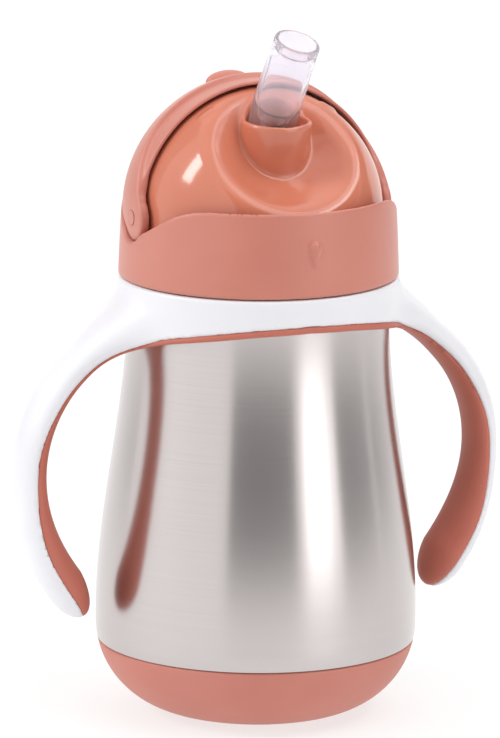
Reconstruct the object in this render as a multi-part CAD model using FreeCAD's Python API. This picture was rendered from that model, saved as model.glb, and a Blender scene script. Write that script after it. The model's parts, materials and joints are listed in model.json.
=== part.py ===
"""Two-handled steel training cup with a screw lid, a folding straw and a swinging cover.

Frame: millimetres, +Z up, origin at the centre of the base.  The drinking side faces -Y and the
two handles point along -X and +X.  Each function below makes one piece of the cup.
"""
import FreeCAD
import Part
import math
import os

# ---------------------------------------------------------------- driving dimensions
BELLY_R = 38.2            # widest radius of the steel body
WAIST_R = 30.95           # radius just under the shoulder
BELLY_Z = 24.0            # height where the body starts to taper
WAIST_Z = 98.0            # height where the taper ends
CORNER_R = 21.3           # big round at the foot
BOOT_TOP = 17.1           # upper edge of the soft boot
BOOT_WALL = 2.0
SHELL_WALL = 0.6          # outer steel skin
LINER_WALL = 0.5          # inner steel skin
VACUUM_GAP = 2.8          # between the two skins
LINER_FLOOR = 6.5

NECK_R = 28.0
SHOULDER_Z = 102.4        # ledge that carries the handle ring
SHOULDER_ROUND = 0.75
RIM_Z = 111.7             # top of the steel mouth
LIP_H = 0.6               # rolled lip of the liner
PLATE_R = 14.2            # welded base plate
PLUG_R = 1.5
GETTER_R = 3.0
GETTER_H = 1.4
GETTER_X = 8.0

THREAD_PITCH = 4.0
THREAD_TURNS = 1.2
MALE_CREST_R = 29.2
MALE_START_Z = 104.6
FEMALE_CREST_R = 28.45
FEMALE_ROOT_R = 29.8
THREAD_DROP = 1.7         # the lid's thread runs this far under the neck's
ROOT_H = 2.1              # height of a thread at its root
CREST_H = 0.95            # and at its crest

RING_TOP = 105.3
RING_R = 33.3
RING_LOW_R = 33.5
RING_LOW_Z = 98.0
RING_BORE = 29.45
SKIRT_BORE = 31.5
GRIP_STRIP = 2.0          # height of the soft edge round the ring
HANDLE_Z = 60.5           # height where a handle is furthest out
HANDLE_X = 57.6           # centre line there
UPPER_ARC = 34.5          # centre line above that height
LOWER_ARC = 45.0          # centre line below it
UPPER_SWEEP = 76.0        # degrees, up into the ring
LOWER_SWEEP = 49.0        # degrees, down to the tip
LOWER_TWIST = 8.0         # degrees that the lower end turns its front edge outwards
HANDLE_HALF_T = 3.6       # half thickness, measured away from the cup
HANDLE_HALF_W = 6.5       # half width along Y
TIP_HALF_W = 7.2          # half width of the lower end
ROOT_SWELL_T = 2.8        # extra half thickness where a handle meets the ring
ROOT_SWELL_W = 5.0        # extra half width there
ROOT_SHIFT = 1.2          # and outward shift of the centre line
TIP_SWELL = 1.2           # extra half thickness towards the tip
TIP_SHIFT = 1.6
FLARE_START = 50.0        # degrees above the widest point where the root begins to swell
TIP_START = 36.0          # degrees below it where the rounded end begins
SKIRT_Z = 84.0            # the ring's skirt is cut out of stock that starts here

SEAL_H = 1.5
SEAL_R = 28.2
SEAL_BORE = 25.2
WEB_H = 1.6               # floor ring inside the lid
COLLAR_Z = 105.6          # lower edge of the lid
COLLAR_R = 33.2
COLLAR_MID_R = 32.85      # radius at COLLAR_MID_Z
COLLAR_MID_Z = 114.5
COLLAR_TOP_R = 32.25
COLLAR_RISE = 4.8         # front and back edge above the pivot axis
GROOVE_FLOOR = -2.3       # groove for the cover's lip, from the pivot axis
GROOVE_R = 31.4

PIVOT_Z = 120.6           # axis of the swinging cover, and centre of the dome
DOME_R = 29.3
DOME_WALL = 2.0
BOWL_R = 27.7             # scooped bowl in front of the dome
BOWL_Y = -31.5
BOWL_RISE = 32.6
SLEEVE_TILT = 19.0        # degrees forward
SLEEVE_FOOT_Y = -2.68     # where the sleeve's axis crosses the pivot height
SLEEVE_R = 8.3
SLEEVE_BORE = 7.1
MOUTH_RISE = 23.5         # level front edge of the sleeve's mouth, above the pivot axis
MOUTH_Y = -10.5           # behind this the edge climbs
MOUTH_BACK_Y = -6.0       # and here it has reached the dome
SEAT_T = 8.0              # seat for the straw, along the sleeve's axis
SEAT_H = 1.6
BUMP_AT = (15.0, -4.5, 24.8)       # direction of the small stop on the dome, seen from the pivot
BUMP_LEAN = (0.85, 0.0, -0.52)     # direction it lies in
BUMP_R = 1.0
BUMP_HALF = 1.6           # half length
BUMP_SINK = 0.6           # its middle lies this deep under the surface

STRAW_R = 5.5
STRAW_BORE = 3.7
STRAW_NECK = 4.0
STRAW_SOCKET = 3.0
STRAW_FLANGE_R = 6.0      # under the seat
STRAW_FLANGE_T = 1.4
STRAW_STEM_R = 4.6
STRAW_STEM_END = -3.0     # lower end of the stem, along the sleeve's axis
STRAW_PASSAGE = 2.2
STRAW_BEND = (-1.1, -10.2, 143.7)
STRAW_TIP = (1.9, -18.3, 163.5)
DIP_R = 3.0
DIP_BORE = 2.2
DIP_TOP = 3.0             # upper end, along the sleeve's axis
DIP_BEND = -17.0          # from here down it hangs upright
DIP_END_Z = 10.5

VISOR_R = 32.3
VISOR_BORE = 30.1
LIP_R = 31.0              # thin lip that tucks inside the collar
LIP_REACH = 1.4           # lip beyond the pivot axis
NOTCH_R = 5.7             # round notch in the collar at each pivot
NOTCH_X = 28.3            # it is open from here outwards
NOTCH_EDGE_Y = 4.7        # where the ramp of the edge meets that notch
NOTCH_EDGE_Z = -3.25
RAMP_START = 24.0         # the collar's edge is level in front of this distance from the pivot
RAMP_BEND = 17.0          # first pole of its dip towards the pivot
RAMP_LOW = 12.5           # second pole
RAMP_LOW_Z = 0.1
PIP_R = 2.1               # raised teardrop mark on the front of the collar
PIP_X = 1.0
PIP_Y = -31.9
PIP_Z = 117.6
PIP_TAIL = 5.0            # length of its tail
PIP_TAIL_R = 0.6
PIP_TAIL_LEAN = 0.4       # the tail's end stands this much further out
GAP = 0.3
TAB_ANGLE = 36.5          # thumb tab, degrees behind the top
TAB_R = 2.7
TAB_HALF = 2.9            # half length of its straight part
TAB_TOP = 36.3            # how far it reaches from the pivot axis

PIN_R = 1.7
PIN_FIT = 0.05            # running clearance in the dome
PIN_IN = 26.4
BOSS_R = 3.6
VALVE_LIFT = 25.0         # vent valve, degrees above the pivot height at the back
VALVE_STEM_R = 1.2
VALVE_BULB_R = 2.0
VALVE_CAP_R = 3.0
FAR = 45.0                # longer than anything here is wide

# ---------------------------------------------------------------- helpers
Vec = FreeCAD.Vector
ORIGIN = Vec(0, 0, 0)
AXIS_X = Vec(1, 0, 0)
AXIS_Y = Vec(0, 1, 0)
AXIS_Z = Vec(0, 0, 1)
PIVOT = Vec(0, 0, PIVOT_Z)


def arc(start, middle, end):
    """Round edge through three points."""
    return Part.Arc(Vec(*start), Vec(*middle), Vec(*end)).toShape()


def bezier(*poles):
    """Smooth edge with the given poles."""
    curve = Part.BezierCurve()
    curve.setPoles([Vec(*pole) for pole in poles])
    return curve.toShape()


def corner(centre_r, centre_z, radius, start_deg, end_deg):
    """Round edge in the XZ half-plane, about a centre, between two angles from +X."""
    points = []
    for angle in (start_deg, (start_deg + end_deg) / 2, end_deg):
        turn = math.radians(angle)
        points.append((centre_r + radius * math.cos(turn), 0, centre_z + radius * math.sin(turn)))
    return arc(*points)


def outline(*items):
    """Closed face from edges and corner points in order; neighbours are joined by lines."""
    edges = []
    first = None
    last = None
    for item in items + (None,):
        if item is None:
            start, end = first, first
        elif isinstance(item, tuple):
            start = end = Vec(*item)
        else:
            start = item.valueAt(item.FirstParameter)
            end = item.valueAt(item.LastParameter)
        if last is not None and last.distanceToPoint(start) > 1e-6:
            edges.append(Part.LineSegment(last, start).toShape())
        if item is not None and not isinstance(item, tuple):
            edges.append(item)
        first = first or start
        last = end
    return Part.Face(Part.Wire(edges))


def revolved(face):
    """Full turn of an XZ face about the Z axis."""
    return face.revolve(ORIGIN, AXIS_Z, 360)


def sphere(radius, centre=PIVOT):
    return Part.makeSphere(radius, centre)


def shell(outer, inner):
    """Hollow ball about the pivot."""
    return sphere(outer).cut(sphere(inner))


def along_x(face, reach):
    """Extrusion of a YZ face both ways along X."""
    moved = face.copy()
    moved.translate(Vec(-reach, 0, 0))
    return moved.extrude(Vec(2 * reach, 0, 0))


def along_y(face, reach):
    """Extrusion of an XZ face both ways along Y."""
    moved = face.copy()
    moved.translate(Vec(0, -reach, 0))
    return moved.extrude(Vec(0, 2 * reach, 0))


def body_edge(inset_low, inset_high):
    """Tapering S of the body, moved inwards by an inset at its foot and at its top."""
    low = BELLY_R - inset_low
    high = WAIST_R - inset_high
    third = (WAIST_Z - BELLY_Z) / 3
    return bezier((low, 0, BELLY_Z), (low, 0, BELLY_Z + third),
                  (high, 0, WAIST_Z - third), (high, 0, WAIST_Z))


def reversed_edge(edge):
    """The same Bezier edge, run the other way."""
    poles = edge.Curve.getPoles()
    return bezier(*[tuple(pole) for pole in reversed(poles)])


def foot_radius(radius, height):
    """Radius of the foot's round at a height, for an arc of the given radius."""
    return BELLY_R - CORNER_R + math.sqrt(radius ** 2 - (CORNER_R - height) ** 2)


def foot_arc(radius, low, high):
    """Foot round between two heights."""
    centre = BELLY_R - CORNER_R
    start = -math.degrees(math.asin(min(1.0, (CORNER_R - low) / radius)))
    end = -math.degrees(math.asin((CORNER_R - high) / radius))
    return corner(centre, CORNER_R, radius, start, end)


def thread(start_z, turns, root_r, crest_r):
    """Helical ridge with a trapezium section, rising the way a right-hand screw does."""
    helix = Part.makeHelix(THREAD_PITCH, THREAD_PITCH * turns, NECK_R)
    helix.translate(Vec(0, 0, start_z))
    half_root = ROOT_H / 2
    half_crest = CREST_H / 2
    points = [Vec(root_r, 0, start_z - half_root), Vec(crest_r, 0, start_z - half_crest),
              Vec(crest_r, 0, start_z + half_crest), Vec(root_r, 0, start_z + half_root)]
    section = Part.makePolygon(points + points[:1])
    return Part.Wire(helix.Edges).makePipeShell([section], True, True)


def tube_path(points):
    """Straight runs joined by the widest tangent arcs that the runs leave room for."""
    places = [Vec(*point) for point in points]
    edges = []
    start = places[0]
    for before, at, after in zip(places, places[1:], places[2:]):
        into = (at - before)
        out = (after - at)
        reach = 0.45 * min(into.Length, out.Length)
        into.normalize()
        out.normalize()
        entry = at - into * reach
        leave = at + out * reach
        half_turn = into.getAngle(out) / 2
        radius = reach / math.tan(half_turn)
        inward = out - into
        inward.normalize()
        middle = at + inward * (radius / math.cos(half_turn) - radius)
        edges.append(Part.LineSegment(start, entry).toShape())
        edges.append(Part.Arc(entry, middle, leave).toShape())
        start = leave
    edges.append(Part.LineSegment(start, places[-1]).toShape())
    return Part.Wire(edges)


def rod_on_path(path, radius):
    """Round rod along a path."""
    first = path.Edges[0]
    start = first.valueAt(first.FirstParameter)
    direction = first.tangentAt(first.FirstParameter)
    section = Part.Wire(Part.makeCircle(radius, start, direction))
    return path.makePipeShell([section], True, False)


def sleeve_point(distance):
    """Point on the sleeve's axis, from where it crosses the pivot height."""
    tilt = math.radians(SLEEVE_TILT)
    return Vec(0, SLEEVE_FOOT_Y - distance * math.sin(tilt), PIVOT_Z + distance * math.cos(tilt))


def sleeve_rod(radius, start, end):
    """Cylinder on the sleeve's axis."""
    foot = sleeve_point(start)
    return Part.makeCylinder(radius, end - start, foot, sleeve_point(end) - foot)


# ---------------------------------------------------------------- steel body
def outer_shell():
    """Outer skin: foot, taper, shoulder ledge and threaded neck."""
    wall = SHELL_WALL
    in_boot = CORNER_R - BOOT_WALL
    ledge_r = WAIST_R - SHOULDER_ROUND
    round_z = SHOULDER_Z - SHOULDER_ROUND
    face = outline(
        (PLATE_R, 0, BOOT_WALL),
        foot_arc(in_boot, BOOT_WALL, BOOT_TOP),
        foot_arc(CORNER_R, BOOT_TOP, CORNER_R),
        body_edge(0, 0),
        corner(ledge_r, round_z, SHOULDER_ROUND, 0, 90),
        (NECK_R, 0, SHOULDER_Z),
        (NECK_R, 0, RIM_Z - LIP_H),
        (NECK_R - wall, 0, RIM_Z - LIP_H),
        (NECK_R - wall, 0, SHOULDER_Z - wall),
        (WAIST_R - wall, 0, SHOULDER_Z - wall),
        reversed_edge(body_edge(wall, wall)),
        (BELLY_R - wall, 0, CORNER_R),
        (foot_radius(CORNER_R - wall, BOOT_TOP + wall), 0, BOOT_TOP + wall),
        (foot_radius(in_boot - wall, BOOT_TOP + wall), 0, BOOT_TOP + wall),
        corner(BELLY_R - CORNER_R, CORNER_R, in_boot - wall,
               -math.degrees(math.asin((CORNER_R - BOOT_TOP - wall) / (in_boot - wall))), -90),
        (PLATE_R, 0, BOOT_WALL + wall),
    )
    ridge = thread(MALE_START_Z, THREAD_TURNS, NECK_R - 0.2, MALE_CREST_R)
    return revolved(face).fuse(ridge)


def inner_liner():
    """Inner skin that holds the drink, with a lip rolled over the neck."""
    gap = SHELL_WALL + VACUUM_GAP
    neck = NECK_R - SHELL_WALL
    bore = neck - LINER_WALL
    floor_r = BELLY_R - CORNER_R
    round_r = BELLY_R - gap - floor_r
    round_z = LINER_FLOOR + round_r
    third = (WAIST_Z - round_z) / 3
    outer = bezier((BELLY_R - gap, 0, round_z), (BELLY_R - gap, 0, round_z + third),
                   (neck, 0, WAIST_Z - third), (neck, 0, WAIST_Z))
    inner = bezier((bore, 0, WAIST_Z), (bore, 0, WAIST_Z - third),
                   (BELLY_R - gap - LINER_WALL, 0, round_z + third),
                   (BELLY_R - gap - LINER_WALL, 0, round_z))
    face = outline(
        (0, 0, LINER_FLOOR),
        corner(floor_r, round_z, round_r, -90, 0),
        outer,
        (neck, 0, RIM_Z - LIP_H),
        (NECK_R, 0, RIM_Z - LIP_H),
        (NECK_R, 0, RIM_Z),
        (bore, 0, RIM_Z),
        inner,
        corner(floor_r, round_z, round_r - LINER_WALL, 0, -90),
        (0, 0, LINER_FLOOR + LINER_WALL),
    )
    return revolved(face)


def base_plate():
    """Disc welded into the foot, with the hole through which the gap was pumped out."""
    disc = Part.makeCylinder(PLATE_R, SHELL_WALL, Vec(0, 0, BOOT_WALL))
    return disc.cut(Part.makeCylinder(PLUG_R, SHELL_WALL, Vec(0, 0, BOOT_WALL)))


def vacuum_plug():
    """Plug that seals the pump hole, with its head inside the gap."""
    stem = Part.makeCylinder(PLUG_R, SHELL_WALL, Vec(0, 0, BOOT_WALL))
    head = Part.makeCylinder(2 * PLUG_R, SHELL_WALL, Vec(0, 0, BOOT_WALL + SHELL_WALL))
    return stem.fuse(head).removeSplitter()


def getter_pellet():
    """Gas-absorbing pellet on the base plate, inside the vacuum gap."""
    return Part.makeCylinder(GETTER_R, GETTER_H, Vec(GETTER_X, 0, BOOT_WALL + SHELL_WALL))


def base_boot():
    """Soft boot that hugs the foot, flush with the steel above it."""
    in_boot = CORNER_R - BOOT_WALL
    face = outline(
        (0, 0, 0),
        foot_arc(CORNER_R, 0, BOOT_TOP),
        corner(BELLY_R - CORNER_R, CORNER_R, in_boot,
               -math.degrees(math.asin((CORNER_R - BOOT_TOP) / in_boot)), -90),
        (0, 0, BOOT_WALL),
    )
    return revolved(face)


# ---------------------------------------------------------------- handles
def smooth(value):
    """Soft step from 0 to 1."""
    value = max(0.0, min(1.0, value))
    return value * value * (3 - 2 * value)


def handle_station(angle):
    """Centre, thickness direction, width direction and half sizes of a handle's section.

    The angle is in degrees from the widest point, positive upwards.
    """
    turn = math.radians(angle)
    arc_r = UPPER_ARC if angle > 0 else LOWER_ARC
    outward = Vec(math.cos(turn), 0, math.sin(turn))
    centre = Vec(HANDLE_X - arc_r, 0, HANDLE_Z) + outward * arc_r
    half_t = HANDLE_HALF_T
    half_w = HANDLE_HALF_W
    twist = 0.0
    if angle > 0:
        flare = smooth((angle - FLARE_START) / (UPPER_SWEEP - FLARE_START))
        half_t += ROOT_SWELL_T * flare
        half_w += ROOT_SWELL_W * flare
        centre += outward * (ROOT_SHIFT * flare)
    else:
        swell = smooth(-angle / TIP_START)
        tip = max(0.0, (-angle - TIP_START) / (LOWER_SWEEP - TIP_START))
        shrink = math.sqrt(max(0.0, 1 - tip ** 2))
        half_t = (half_t + TIP_SWELL * swell) * shrink
        half_w = (half_w + (TIP_HALF_W - half_w) * swell) * shrink
        twist = math.radians(LOWER_TWIST) * swell
        centre += outward * (TIP_SHIFT * tip)
    thick = outward * math.cos(twist) + AXIS_Y * math.sin(twist)
    wide = AXIS_Y * math.cos(twist) - outward * math.sin(twist)
    return centre, thick, wide, half_t, half_w


def handle():
    """Open hook on the +X side, lofted through oval sections."""
    stations = [UPPER_SWEEP, 68, 60, 52, 40, 28, 14, 0, -10, -20, -28, -34, -39, -43, -46, -48, -48.8]
    sections = []
    for angle in stations:
        centre, thick, wide, half_t, half_w = handle_station(angle)
        oval = Part.Ellipse(centre + wide * half_w, centre + thick * half_t, centre)
        sections.append(Part.Wire(oval.toShape()))
    return Part.makeLoft(sections, True)


def parting_edge(drop):
    """Line where the hard frame meets the soft grip, seen along Y; drop lowers its middle."""
    right = [(0, 98.7), (11.5, 98.1), (20.6, 96.8), (27.4, 95.0), (33.3, 92.3), (41.0, 88.4),
             (48.6, 82.0), (54.0, 74.2), (56.9, 67.0), (57.7, 60.0), (57.2, 51.5), (55.4, 43.3),
             (51.8, 36.0), (46.2, 27.8), (41.0, 21.0)]
    points = [Vec(-x, 0, z - drop) for x, z in reversed(right[1:])]
    points += [Vec(x, 0, z - drop) for x, z in right]
    curve = Part.BSplineCurve()
    curve.interpolate(points)
    return curve.toShape()


def handle_blank():
    """Ring and both hooks as one body, before the split into hard and soft."""
    face = outline(
        (RING_BORE, 0, SHOULDER_Z),
        (SKIRT_BORE, 0, SHOULDER_Z),
        (SKIRT_BORE, 0, SKIRT_Z),
        (RING_LOW_R, 0, SKIRT_Z),
        (RING_LOW_R, 0, RING_LOW_Z),
        (RING_R, 0, RING_TOP - 0.8),
        (RING_R - 0.4, 0, RING_TOP),
        (RING_BORE, 0, RING_TOP),
    )
    below = outline(parting_edge(GRIP_STRIP))
    ring = revolved(face).cut(along_y(below, FAR))
    right = handle()
    left = right.mirror(ORIGIN, AXIS_X)
    bore = Part.makeCylinder(SKIRT_BORE, SHOULDER_Z)
    hooks = right.fuse(left).cut(bore)
    return ring.fuse(hooks)


def handle_frame(blank):
    """Hard white frame: ring and the outer side of both hooks."""
    return blank.cut(along_y(outline(parting_edge(0)), FAR))


def handle_grip(blank):
    """Soft grip moulded on the inner side of both hooks and round the ring's lower edge."""
    return blank.common(along_y(outline(parting_edge(0)), FAR))


# ---------------------------------------------------------------- lid
def lid_gasket():
    """Flat seal between the steel rim and the lid's floor ring."""
    ring = Part.makeCylinder(SEAL_R, SEAL_H, Vec(0, 0, RIM_Z))
    return ring.cut(Part.makeCylinder(SEAL_BORE, SEAL_H, Vec(0, 0, RIM_Z)))


def edge_profile(gap):
    """Upper edge of the collar's front half, seen along X, from the pivot."""
    top = COLLAR_RISE + gap
    return bezier((0, -RAMP_START, top), (0, -RAMP_BEND, top), (0, -RAMP_LOW, RAMP_LOW_Z + gap),
                  (0, -NOTCH_EDGE_Y, NOTCH_EDGE_Z + gap))


def lid_collar():
    """Screw collar: thread inside, floor ring, groove for the cover's lip and pivot notches."""
    top = PIVOT_Z + COLLAR_RISE
    web_z = RIM_Z + SEAL_H
    face = outline(
        arc((COLLAR_R, 0, COLLAR_Z), (COLLAR_MID_R, 0, COLLAR_MID_Z), (COLLAR_TOP_R, 0, top)),
        (GROOVE_R, 0, top),
        (GROOVE_R, 0, PIVOT_Z + GROOVE_FLOOR),
        (DOME_R, 0, PIVOT_Z + GROOVE_FLOOR),
        (DOME_R, 0, web_z + WEB_H),
        (SEAL_BORE, 0, web_z + WEB_H),
        (SEAL_BORE, 0, web_z),
        (FEMALE_ROOT_R, 0, web_z),
        (FEMALE_ROOT_R, 0, COLLAR_Z),
    )
    female_z = MALE_START_Z - THREAD_DROP + THREAD_PITCH
    ridge = thread(female_z, 1.0, FEMALE_ROOT_R + 0.2, FEMALE_CREST_R)
    solid = revolved(face).fuse(ridge)
    for side in (-1, 1):
        solid = solid.cut(pivot_notch(side))
    return solid.fuse(front_pip())


def pivot_notch(side):
    """What is cut from the collar above its ramps and round each pivot, on one side."""
    front = edge_profile(0)
    back = front.mirror(ORIGIN, AXIS_Y)
    above = COLLAR_RISE + 4
    ramp = outline((0, -RAMP_START, above), (0, -RAMP_START, COLLAR_RISE), front,
                   (0, NOTCH_EDGE_Y, NOTCH_EDGE_Z), reversed_edge(back), (0, RAMP_START, above))
    ramp.translate(PIVOT)
    start = side * NOTCH_X
    disc = Part.makeCylinder(NOTCH_R, FAR - NOTCH_X, Vec(start, 0, PIVOT_Z), AXIS_X * side)
    through = along_x(ramp, FAR)
    inner_x = min(start, start + side * FAR)
    beside = Part.makeBox(FAR, 2 * FAR, FAR, Vec(inner_x, -FAR, PIVOT_Z - FAR / 2))
    above_floor = Part.makeBox(2 * FAR, 2 * FAR, FAR, Vec(-FAR, -FAR, PIVOT_Z + GROOVE_FLOOR))
    return disc.fuse(through.common(beside)).fuse(through.common(above_floor))


def front_pip():
    """Small teardrop mark on the front of the collar."""
    ball = Part.makeSphere(PIP_R, Vec(PIP_X, PIP_Y, PIP_Z))
    rise = Vec(0, PIP_TAIL_LEAN, PIP_TAIL)
    tail = Part.makeCone(PIP_TAIL_R, PIP_R, PIP_TAIL, Vec(PIP_X, PIP_Y, PIP_Z) - rise, rise)
    inside = Part.makeCylinder(GROOVE_R + 0.2, FAR, Vec(0, 0, COLLAR_Z))
    return ball.cut(inside).fuse(tail.cut(inside))


def lid_dome():
    """Glossy dome with a scooped bowl, the straw's sleeve and the bosses for the pivot pins."""
    scoop = Vec(0, BOWL_Y, PIVOT_Z + BOWL_RISE)
    skirt_z = RIM_Z + SEAL_H + WEB_H
    skirt_h = PIVOT_Z - skirt_z
    upper = Part.makeBox(80, 80, 40, Vec(-40, -40, PIVOT_Z))
    inner_r = DOME_R - DOME_WALL
    outside = sphere(DOME_R).cut(sphere(BOWL_R, scoop)).common(upper)
    outside = outside.fuse(Part.makeCylinder(DOME_R, skirt_h, Vec(0, 0, skirt_z)))
    inside = sphere(inner_r).cut(sphere(BOWL_R + DOME_WALL, scoop)).common(upper)
    inside = inside.fuse(Part.makeCylinder(inner_r, skirt_h, Vec(0, 0, skirt_z)))
    tube = sleeve_rod(SLEEVE_R, SEAT_T, 40).common(sphere(DOME_R)).cut(above_mouth())
    solid = outside.cut(inside).fuse(tube)
    solid = solid.cut(sleeve_rod(SLEEVE_BORE, SEAT_T + SEAT_H, 40))
    solid = solid.cut(sleeve_rod(STRAW_NECK, 0, 40))
    for side in (-1, 1):
        boss = Part.makeCylinder(BOSS_R, 3, Vec(side * (PIN_IN - 0.6), 0, PIVOT_Z), AXIS_X * side)
        bore = Part.makeCylinder(PIN_R + PIN_FIT, 8, Vec(side * (PIN_IN - 0.1), 0, PIVOT_Z), AXIS_X * side)
        solid = solid.fuse(boss.common(sphere(DOME_R - 0.5))).cut(bore)
        solid = solid.fuse(dome_bump(side))
    return solid.cut(valve_hole())


def above_mouth():
    """Space above the sleeve's mouth."""
    face = outline((0, -FAR, MOUTH_RISE), (0, MOUTH_Y, MOUTH_RISE), (0, MOUTH_BACK_Y, DOME_R),
                   (0, MOUTH_BACK_Y, FAR), (0, -FAR, FAR))
    face.translate(PIVOT)
    return along_x(face, FAR)


def dome_bump(side):
    """Small raised stop that the cover's lip passes over."""
    across, along, up = BUMP_AT
    centre = PIVOT + Vec(side * across, along, up).normalize() * (DOME_R - BUMP_SINK)
    lean = Vec(side * BUMP_LEAN[0], BUMP_LEAN[1], BUMP_LEAN[2]).normalize() * BUMP_HALF
    bead = Part.makeCylinder(BUMP_R, 2 * BUMP_HALF, centre - lean, lean)
    for end in (centre - lean, centre + lean):
        bead = bead.fuse(Part.makeSphere(BUMP_R, end))
    return bead


def valve_axis():
    """Direction of the vent valve from the dome's centre, low on the back."""
    lift = math.radians(VALVE_LIFT)
    return Vec(0, math.cos(lift), math.sin(lift))


def valve_hole():
    return Part.makeCylinder(VALVE_STEM_R, 10, PIVOT + valve_axis() * 22, valve_axis())


def vent_valve():
    """Soft umbrella valve that lets air in through the back of the dome."""
    cap = Part.makeCylinder(VALVE_CAP_R, 10, PIVOT + valve_axis() * 22, valve_axis())
    cap = cap.common(shell(DOME_R + 0.4, DOME_R))
    bulb = Part.makeCylinder(VALVE_BULB_R, 10, PIVOT + valve_axis() * 22, valve_axis())
    bulb = bulb.common(shell(DOME_R - DOME_WALL, DOME_R - DOME_WALL - 1.2))
    stem = valve_hole().common(shell(DOME_R + 0.2, DOME_R - DOME_WALL - 1.0))
    return cap.fuse(stem).fuse(bulb)


def spout_straw():
    """Soft straw: drinking end, waist held in the seat, and socket for the dip straw."""
    seat_top = SEAT_T + SEAT_H
    path = tube_path([tuple(sleeve_point(seat_top - 0.6)), STRAW_BEND, STRAW_TIP])
    inner_path = tube_path([tuple(sleeve_point(seat_top + 1.4)), STRAW_BEND, STRAW_TIP])
    spout = rod_on_path(path, STRAW_R).cut(rod_on_path(inner_path, STRAW_BORE))
    spout = spout.cut(sleeve_rod(SLEEVE_R, 0, seat_top))
    waist = sleeve_rod(STRAW_NECK, SEAT_T - 0.2, seat_top + 0.6)
    flange = sleeve_rod(STRAW_FLANGE_R, SEAT_T - STRAW_FLANGE_T, SEAT_T)
    stem = sleeve_rod(STRAW_STEM_R, STRAW_STEM_END, SEAT_T - 1.0)
    solid = spout.fuse(waist).fuse(flange).fuse(stem)
    solid = solid.cut(sleeve_rod(STRAW_PASSAGE, STRAW_STEM_END - 1, seat_top + 2.2))
    return solid.cut(sleeve_rod(STRAW_SOCKET, STRAW_STEM_END - 1, DIP_TOP))


def dip_straw():
    """Stiff straw that reaches from the socket down to the floor of the liner."""
    top = sleeve_point(DIP_TOP)
    bend = sleeve_point(DIP_BEND)
    path = tube_path([tuple(top), tuple(bend), (0, bend.y, DIP_END_Z)])
    return rod_on_path(path, DIP_R).cut(rod_on_path(path, DIP_BORE))


# ---------------------------------------------------------------- swinging cover
def visor_cover():
    """Quarter of a hollow ball that turns about the pivots, with a thin lip on both edges."""
    low = COLLAR_RISE + GAP
    ramp = [(-NOTCH_EDGE_Y, NOTCH_EDGE_Z + GAP), (-RAMP_LOW, RAMP_LOW_Z + GAP),
            (-RAMP_BEND, low), (-RAMP_START, low)]
    back = bezier(*[(0, -y, z) for y, z in ramp])
    front = bezier(*[(0, z, -y) for y, z in reversed(ramp)])
    region = outline(back, (0, FAR, low), (0, FAR, FAR), (0, low, FAR), front)
    region.translate(PIVOT)
    thick = along_x(region, FAR).common(shell(VISOR_R, VISOR_BORE))
    quadrant = Part.makeBox(2 * FAR, FAR, FAR, Vec(-FAR, -LIP_REACH, PIVOT_Z - LIP_REACH))
    lip = shell(LIP_R, VISOR_BORE).common(quadrant)
    discs = Part.makeCylinder(NOTCH_R - GAP, 2 * FAR, Vec(-FAR, 0, PIVOT_Z), AXIS_X)
    discs = discs.common(shell(VISOR_R, VISOR_BORE))
    solid = thick.fuse(lip).fuse(discs).fuse(thumb_tab())
    return solid.cut(Part.makeCylinder(PIN_R, 2 * FAR, Vec(-FAR, 0, PIVOT_Z), AXIS_X))


def thumb_tab():
    """Rounded bead that a thumb pushes."""
    turn = math.radians(TAB_ANGLE)
    reach = TAB_TOP - TAB_R
    centre = PIVOT + Vec(0, math.sin(turn), math.cos(turn)) * reach
    bead = Part.makeCylinder(TAB_R, 2 * TAB_HALF, centre - AXIS_X * TAB_HALF, AXIS_X)
    for side in (-1, 1):
        bead = bead.fuse(Part.makeSphere(TAB_R, centre + AXIS_X * (side * TAB_HALF)))
    return bead.cut(sphere(VISOR_R - 0.5))


def pivot_pin(side):
    """Pin pressed into the cover's arm; it turns in the dome."""
    rod = Part.makeCylinder(PIN_R, 10, Vec(side * PIN_IN, 0, PIVOT_Z), AXIS_X * side)
    return rod.common(sphere(VISOR_R + 0.1))


# ---------------------------------------------------------------- build
def main():
    blank = handle_blank()
    nodes = {
        "outer_shell": outer_shell(),
        "inner_liner": inner_liner(),
        "base_plate": base_plate(),
        "vacuum_plug": vacuum_plug(),
        "getter_pellet": getter_pellet(),
        "base_boot": base_boot(),
        "handle_frame": handle_frame(blank),
        "handle_grip": handle_grip(blank),
        "lid_gasket": lid_gasket(),
        "lid_collar": lid_collar(),
        "lid_dome": lid_dome(),
        "vent_valve": vent_valve(),
        "spout_straw": spout_straw(),
        "dip_straw": dip_straw(),
        "visor_cover": visor_cover(),
        "pivot_pin_left": pivot_pin(-1),
        "pivot_pin_right": pivot_pin(1),
    }
    os.makedirs("parts", exist_ok=True)
    for name, solid in nodes.items():
        box = solid.BoundBox
        print("%-16s valid %s solids %d volume %.0f x %.1f..%.1f y %.1f..%.1f z %.1f..%.1f" % (
            name, solid.isValid(), len(solid.Solids), solid.Volume,
            box.XMin, box.XMax, box.YMin, box.YMax, box.ZMin, box.ZMax))
        solid.exportStep("parts/" + name + ".step")


main()
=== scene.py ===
"""Looks of the two-handled steel training cup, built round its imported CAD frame.

Shapes are worked out in millimetres, in the CAD frame, and turned into metres when a mesh is made.
Moulded pieces are written as signed fields (negative inside), so their rounds and blends are smooth.
"""
import itertools
import json
import math

import bpy
import numpy as np
from mathutils import Matrix, Vector


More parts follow.
